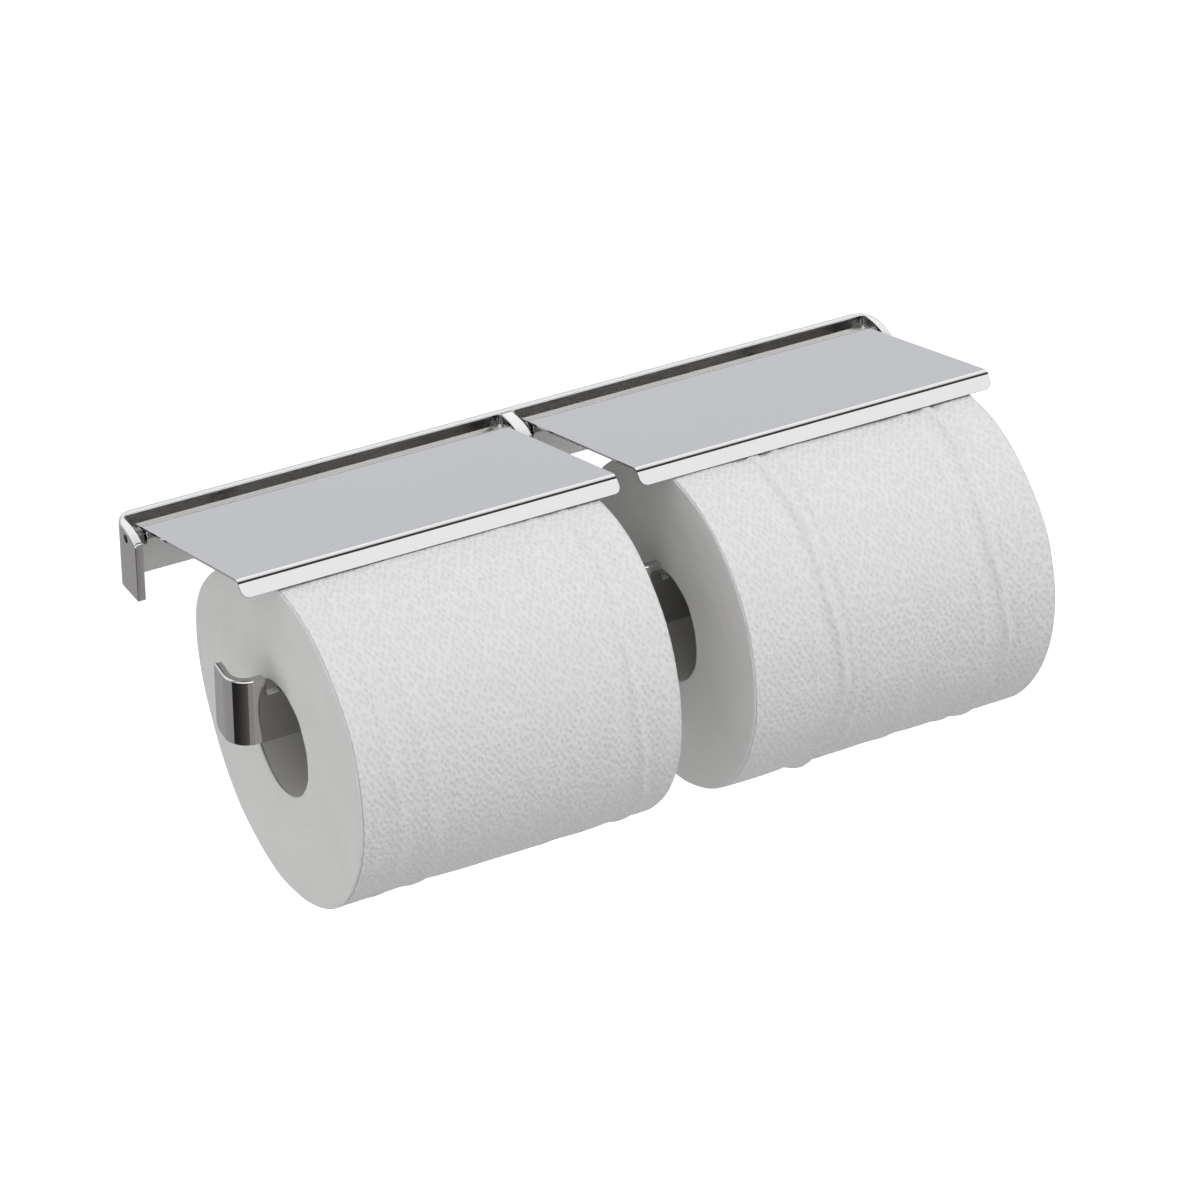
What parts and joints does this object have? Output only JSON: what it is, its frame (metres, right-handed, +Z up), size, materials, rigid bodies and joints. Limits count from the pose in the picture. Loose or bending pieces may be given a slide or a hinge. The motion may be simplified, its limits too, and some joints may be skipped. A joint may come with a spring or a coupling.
{
  "type": "toilet roll dispenser",
  "caption": "Wall-held toilet roll dispenser bent from polished steel bar: rolls hang side by side on hooked arms open at one end, each under its own hinged lid with a turned-down lip.",
  "frame": {"origin": "middle of the rail's back face, which lies against the wall", "axes": "+X to the right as seen from the front, -Y out of the wall into the room, +Z up"},
  "size_m": [0.297, 0.1468, 0.1238],
  "materials": {
    "back_rail": "stainless steel, polished nearly to a mirror",
    "center_divider": "stainless steel, polished nearly to a mirror",
    "left_arm": "stainless steel, polished nearly to a mirror",
    "right_arm": "stainless steel, polished nearly to a mirror",
    "left_hinge_pin": "stainless steel, polished nearly to a mirror",
    "center_hinge_pin": "stainless steel, polished nearly to a mirror",
    "right_hinge_pin": "stainless steel, polished nearly to a mirror",
    "left_lid": "stainless steel, polished nearly to a mirror",
    "right_lid": "stainless steel, polished nearly to a mirror",
    "left_ear_washer": "stainless steel, turned and polished",
    "left_divider_washer": "stainless steel, turned and polished",
    "right_ear_washer": "stainless steel, turned and polished",
    "right_divider_washer": "stainless steel, turned and polished",
    "left_roll_paper": "soft white embossed tissue",
    "right_roll_paper": "soft white embossed tissue",
    "left_roll_core": "grey cardboard, matt",
    "right_roll_core": "grey cardboard, matt"
  },
  "bodies": {
    "frame": {"back_rail": "back_rail", "center_divider": "center_divider", "left_arm": "left_arm", "right_arm": "right_arm", "left_hinge_pin": "left_hinge_pin", "center_hinge_pin": "center_hinge_pin", "right_hinge_pin": "right_hinge_pin", "left_ear_washer": "left_ear_washer", "left_divider_washer": "left_divider_washer", "right_ear_washer": "right_ear_washer", "right_divider_washer": "right_divider_washer"},
    "left_lid": {"left_lid": "left_lid"},
    "right_lid": {"right_lid": "right_lid"},
    "left_roll": {"left_roll_paper": "left_roll_paper", "left_roll_core": "left_roll_core"},
    "right_roll": {"right_roll_paper": "right_roll_paper", "right_roll_core": "right_roll_core"}
  },
  "joints": [
    {"name": "left_lid_hinge", "type": "hinge", "parent": "frame", "child": "left_lid", "pos_m": [-0.07325, -0.0118, 0.0086], "axis": [-1, 0, 0], "range_deg": [0, 81]},
    {"name": "right_lid_hinge", "type": "hinge", "parent": "frame", "child": "right_lid", "pos_m": [0.07325, -0.0118, 0.0086], "axis": [-1, 0, 0], "range_deg": [0, 81]},
    {"name": "left_roll_spin", "type": "hinge", "parent": "frame", "child": "left_roll", "pos_m": [-0.0705, -0.0874, -0.0335], "axis": [1, 0, 0], "continuous": true},
    {"name": "right_roll_spin", "type": "hinge", "parent": "frame", "child": "right_roll", "pos_m": [0.0753, -0.0874, -0.0335], "axis": [1, 0, 0], "continuous": true}
  ]
}
